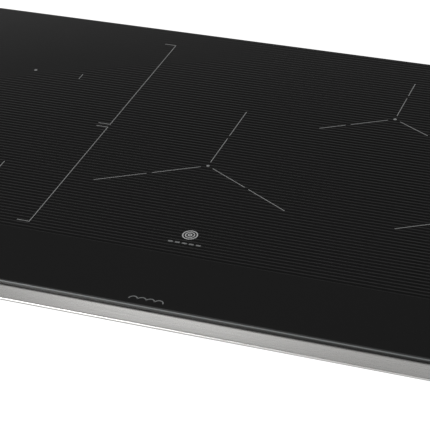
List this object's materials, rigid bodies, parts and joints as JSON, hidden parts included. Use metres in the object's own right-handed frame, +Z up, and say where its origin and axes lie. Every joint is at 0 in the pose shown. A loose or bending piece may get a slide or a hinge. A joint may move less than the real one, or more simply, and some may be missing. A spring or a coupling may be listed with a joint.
{
  "type": "induction cooktop",
  "caption": "Built-in induction cooktop: black glass-ceramic plate with fine printed lines and zone marks, brushed steel front trim, sprung coil decks, fans and swivel clamps under it.",
  "frame": {"origin": "centre of the footprint, at the level of the feet under the tray", "axes": "+X to the right along the front, +Y to the back, +Z up out of the glass"},
  "size_m": [0.91, 0.5314, 0.056],
  "materials": {
    "black_glass_ceramic": "polished, printed",
    "grey_enamel_print": "fired enamel print",
    "black_silicone": "matt",
    "brushed_stainless": "brushed along its length",
    "black_painted_rail": "satin powder coat",
    "grey_foam": "closed-cell foam",
    "galvanised_sheet": "galvanised, folded",
    "black_rubber": "matt",
    "zinc_screw": "zinc plated",
    "spring_steel": "drawn wire",
    "deck_aluminium": "mill finish",
    "ferrite": "sintered",
    "copper_litz": "enamelled stranded wire",
    "mica": "pressed sheet",
    "white_ceramic": "matt",
    "circuit_board": "solder mask",
    "black_plastic": "moulded",
    "grey_plastic": "moulded",
    "extruded_aluminium": "extruded",
    "film_yellow": "dipped",
    "red_wire": "PVC",
    "brown_wire": "PVC"
  },
  "bodies": {
    "housing": {"glass_panel": "black_glass_ceramic", "zone_markings": "grey_enamel_print", "bond_bead": "black_silicone", "front_trim": "brushed_stainless", "trim_end_caps": "brushed_stainless", "front_rail": "black_painted_rail", "rear_rail": "black_painted_rail", "left_rail": "black_painted_rail", "right_rail": "black_painted_rail", "worktop_seals": "grey_foam", "base_tray": "galvanised_sheet", "tray_feet": "black_rubber", "tray_screws": "zinc_screw", "guide_posts": "zinc_screw", "board_standoffs": "white_ceramic", "board_screws": "zinc_screw", "power_transistors": "black_plastic", "film_capacitors": "film_yellow", "filter_chokes": "copper_litz", "relays": "black_plastic", "control_springs": "spring_steel", "terminal_block": "grey_plastic", "terminal_cover": "black_plastic", "cable_grommet": "black_rubber", "mains_leads": "brown_wire", "clamp_screws": "zinc_screw", "deck_springs_left": "spring_steel", "coil_leads_left": "red_wire", "power_board_left": "circuit_board", "heatsink_left": "extruded_aluminium", "fan_housing_left": "black_plastic", "deck_springs_right": "spring_steel", "coil_leads_right": "red_wire", "power_board_right": "circuit_board", "heatsink_right": "extruded_aluminium", "fan_housing_right": "black_plastic"},
    "deck_left": {"coil_deck_left": "deck_aluminium", "ferrite_bars_left": "ferrite", "coil_front_left": "copper_litz", "coil_rear_left": "copper_litz", "mica_discs_left": "mica", "temperature_sensors_left": "white_ceramic"},
    "deck_right": {"coil_deck_right": "deck_aluminium", "ferrite_bars_right": "ferrite", "coil_centre": "copper_litz", "coil_rear_middle": "copper_litz", "coil_right": "copper_litz", "mica_discs_right": "mica", "temperature_sensors_right": "white_ceramic"},
    "touch_control": {"control_carrier": "black_plastic", "control_board": "circuit_board", "touch_pads": "black_silicone", "control_displays": "grey_plastic"},
    "fan_left": {"fan_rotor_left": "black_plastic"},
    "fan_right": {"fan_rotor_right": "black_plastic"},
    "clamp_front_left": {"clamp_front_left": "galvanised_sheet"},
    "clamp_front_right": {"clamp_front_right": "galvanised_sheet"},
    "clamp_rear_left": {"clamp_rear_left": "galvanised_sheet"},
    "clamp_rear_right": {"clamp_rear_right": "galvanised_sheet"}
  },
  "joints": [
    {"name": "deck_press_left", "type": "slide", "parent": "housing", "child": "deck_left", "axis": [0, 0, 1], "range_m": [-0.003, 0], "stiffness_N_per_m": 5000, "springref_m": 0.015, "deforming": ["deck_springs_left", "coil_leads_left"]},
    {"name": "deck_press_right", "type": "slide", "parent": "housing", "child": "deck_right", "axis": [0, 0, 1], "range_m": [-0.003, 0], "stiffness_N_per_m": 9000, "springref_m": 0.015, "deforming": ["deck_springs_right", "coil_leads_right"]},
    {"name": "control_press", "type": "slide", "parent": "housing", "child": "touch_control", "axis": [0, 0, 1], "range_m": [-0.002, 0], "stiffness_N_per_m": 900, "springref_m": 0.01, "deforming": ["control_springs"]},
    {"name": "fan_spin_left", "type": "hinge", "parent": "housing", "child": "fan_left", "pos_m": [-0.29197, 0.16375, 0.018], "axis": [0, 0, 1], "continuous": true},
    {"name": "fan_spin_right", "type": "hinge", "parent": "housing", "child": "fan_right", "pos_m": [0.028, 0.16375, 0.018], "axis": [0, 0, 1], "continuous": true},
    {"name": "clamp_swing_front_left", "type": "hinge", "parent": "housing", "child": "clamp_front_left", "pos_m": [-0.42, -0.16025, 0.004], "axis": [0, 0, 1], "range_deg": [0, 90]},
    {"name": "clamp_swing_front_right", "type": "hinge", "parent": "housing", "child": "clamp_front_right", "pos_m": [0.42, -0.16025, 0.004], "axis": [0, 0, -1], "range_deg": [0, 90]},
    {"name": "clamp_swing_rear_left", "type": "hinge", "parent": "housing", "child": "clamp_rear_left", "pos_m": [-0.42, 0.20575, 0.004], "axis": [0, 0, -1], "range_deg": [0, 90]},
    {"name": "clamp_swing_rear_right", "type": "hinge", "parent": "housing", "child": "clamp_rear_right", "pos_m": [0.42, 0.20575, 0.004], "axis": [0, 0, 1], "range_deg": [0, 90]}
  ]
}
